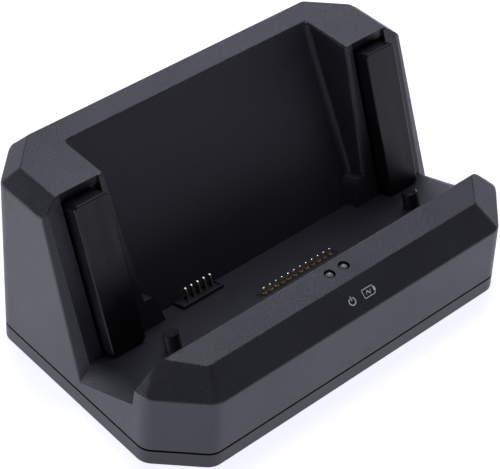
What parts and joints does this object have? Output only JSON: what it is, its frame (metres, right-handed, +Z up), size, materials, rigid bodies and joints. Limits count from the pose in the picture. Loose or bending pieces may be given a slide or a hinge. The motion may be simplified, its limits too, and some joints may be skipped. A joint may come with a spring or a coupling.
{
  "type": "tablet charging dock",
  "caption": "Desktop charging cradle with a leaning open channel between a low front lip and two wings, sprung side pads, a row of sprung pins and a rear contact recess.",
  "frame": {"origin": "middle of the footprint, on the table under the rubber feet", "axes": "+X to the right of someone facing the front lip, +Y towards the back, +Z up"},
  "size_m": [0.15, 0.0962, 0.0672],
  "materials": {
    "housing_plastic": "charcoal moulded plastic with a fine spark-eroded texture",
    "cover_plastic": "charcoal moulded plastic, fine texture",
    "foot_rubber": "black rubber",
    "screw_steel": "blackened steel",
    "pad_plastic": "smooth black, half gloss",
    "spring_steel": "drawn spring wire",
    "insulator_plastic": "black glass-filled plastic",
    "gold_plate": "gold plated",
    "contact_alloy": "plated spring alloy",
    "circuit_board": "solder mask over glass epoxy",
    "chip_plastic": "moulded packages",
    "led_plastic": "diffuse resin",
    "clear_plastic": "frosted clear plastic",
    "post_plastic": "black acetal, half gloss",
    "socket_steel": "plated sheet steel",
    "print_ink": "light grey print"
  },
  "bodies": {
    "base": {"housing": "housing_plastic", "bottom_cover": "cover_plastic", "rubber_foot_front_left": "foot_rubber", "rubber_foot_front_right": "foot_rubber", "rubber_foot_back_left": "foot_rubber", "rubber_foot_back_right": "foot_rubber", "cover_screws": "screw_steel", "plate_screws": "screw_steel", "board_screws": "screw_steel", "left_spring_plate": "insulator_plastic", "right_spring_plate": "insulator_plastic", "left_pad_springs": "spring_steel", "right_pad_springs": "spring_steel", "pogo_block": "insulator_plastic", "pogo_barrels": "gold_plate", "pogo_board": "circuit_board", "blade_connector": "insulator_plastic", "battery_contacts": "contact_alloy", "contact_board": "circuit_board", "guide_post_left": "post_plastic", "guide_post_right": "post_plastic", "main_board": "circuit_board", "board_parts": "chip_plastic", "status_leds": "led_plastic", "light_pipe_power": "clear_plastic", "light_pipe_battery": "clear_plastic", "dc_inlet": "insulator_plastic", "dc_inlet_pin": "contact_alloy", "usb_port": "socket_steel", "usb_tongue": "insulator_plastic", "power_mark": "print_ink", "battery_mark": "print_ink"},
    "left_pad": {"left_pad": "pad_plastic"},
    "right_pad": {"right_pad": "pad_plastic"},
    "pin_01": {"pogo_plunger_01": "gold_plate"},
    "pin_02": {"pogo_plunger_02": "gold_plate"},
    "pin_03": {"pogo_plunger_03": "gold_plate"},
    "pin_04": {"pogo_plunger_04": "gold_plate"},
    "pin_05": {"pogo_plunger_05": "gold_plate"},
    "pin_06": {"pogo_plunger_06": "gold_plate"},
    "pin_07": {"pogo_plunger_07": "gold_plate"},
    "pin_08": {"pogo_plunger_08": "gold_plate"},
    "pin_09": {"pogo_plunger_09": "gold_plate"},
    "pin_10": {"pogo_plunger_10": "gold_plate"},
    "pin_11": {"pogo_plunger_11": "gold_plate"},
    "pin_12": {"pogo_plunger_12": "gold_plate"}
  },
  "joints": [
    {"name": "left_pad_press", "type": "slide", "parent": "base", "child": "left_pad", "axis": [0, 0.9391, -0.3437], "range_m": [0, 0.003], "stiffness_N_per_m": 600, "springref_m": -0.003, "deforming": ["left_pad_springs"]},
    {"name": "right_pad_press", "type": "slide", "parent": "base", "child": "right_pad", "axis": [0, 0.9391, -0.3437], "range_m": [0, 0.003], "stiffness_N_per_m": 600, "springref_m": -0.003, "deforming": ["right_pad_springs"]},
    {"name": "pin_01_press", "type": "slide", "parent": "base", "child": "pin_01", "axis": [0, -0.3437, -0.9391], "range_m": [0, 0.0012], "stiffness_N_per_m": 400, "springref_m": -0.0008},
    {"name": "pin_02_press", "type": "slide", "parent": "base", "child": "pin_02", "axis": [0, -0.3437, -0.9391], "range_m": [0, 0.0012], "stiffness_N_per_m": 400, "springref_m": -0.0008},
    {"name": "pin_03_press", "type": "slide", "parent": "base", "child": "pin_03", "axis": [0, -0.3437, -0.9391], "range_m": [0, 0.0012], "stiffness_N_per_m": 400, "springref_m": -0.0008},
    {"name": "pin_04_press", "type": "slide", "parent": "base", "child": "pin_04", "axis": [0, -0.3437, -0.9391], "range_m": [0, 0.0012], "stiffness_N_per_m": 400, "springref_m": -0.0008},
    {"name": "pin_05_press", "type": "slide", "parent": "base", "child": "pin_05", "axis": [0, -0.3437, -0.9391], "range_m": [0, 0.0012], "stiffness_N_per_m": 400, "springref_m": -0.0008},
    {"name": "pin_06_press", "type": "slide", "parent": "base", "child": "pin_06", "axis": [0, -0.3437, -0.9391], "range_m": [0, 0.0012], "stiffness_N_per_m": 400, "springref_m": -0.0008},
    {"name": "pin_07_press", "type": "slide", "parent": "base", "child": "pin_07", "axis": [0, -0.3437, -0.9391], "range_m": [0, 0.0012], "stiffness_N_per_m": 400, "springref_m": -0.0008},
    {"name": "pin_08_press", "type": "slide", "parent": "base", "child": "pin_08", "axis": [0, -0.3437, -0.9391], "range_m": [0, 0.0012], "stiffness_N_per_m": 400, "springref_m": -0.0008},
    {"name": "pin_09_press", "type": "slide", "parent": "base", "child": "pin_09", "axis": [0, -0.3437, -0.9391], "range_m": [0, 0.0012], "stiffness_N_per_m": 400, "springref_m": -0.0008},
    {"name": "pin_10_press", "type": "slide", "parent": "base", "child": "pin_10", "axis": [0, -0.3437, -0.9391], "range_m": [0, 0.0012], "stiffness_N_per_m": 400, "springref_m": -0.0008},
    {"name": "pin_11_press", "type": "slide", "parent": "base", "child": "pin_11", "axis": [0, -0.3437, -0.9391], "range_m": [0, 0.0012], "stiffness_N_per_m": 400, "springref_m": -0.0008},
    {"name": "pin_12_press", "type": "slide", "parent": "base", "child": "pin_12", "axis": [0, -0.3437, -0.9391], "range_m": [0, 0.0012], "stiffness_N_per_m": 400, "springref_m": -0.0008}
  ]
}
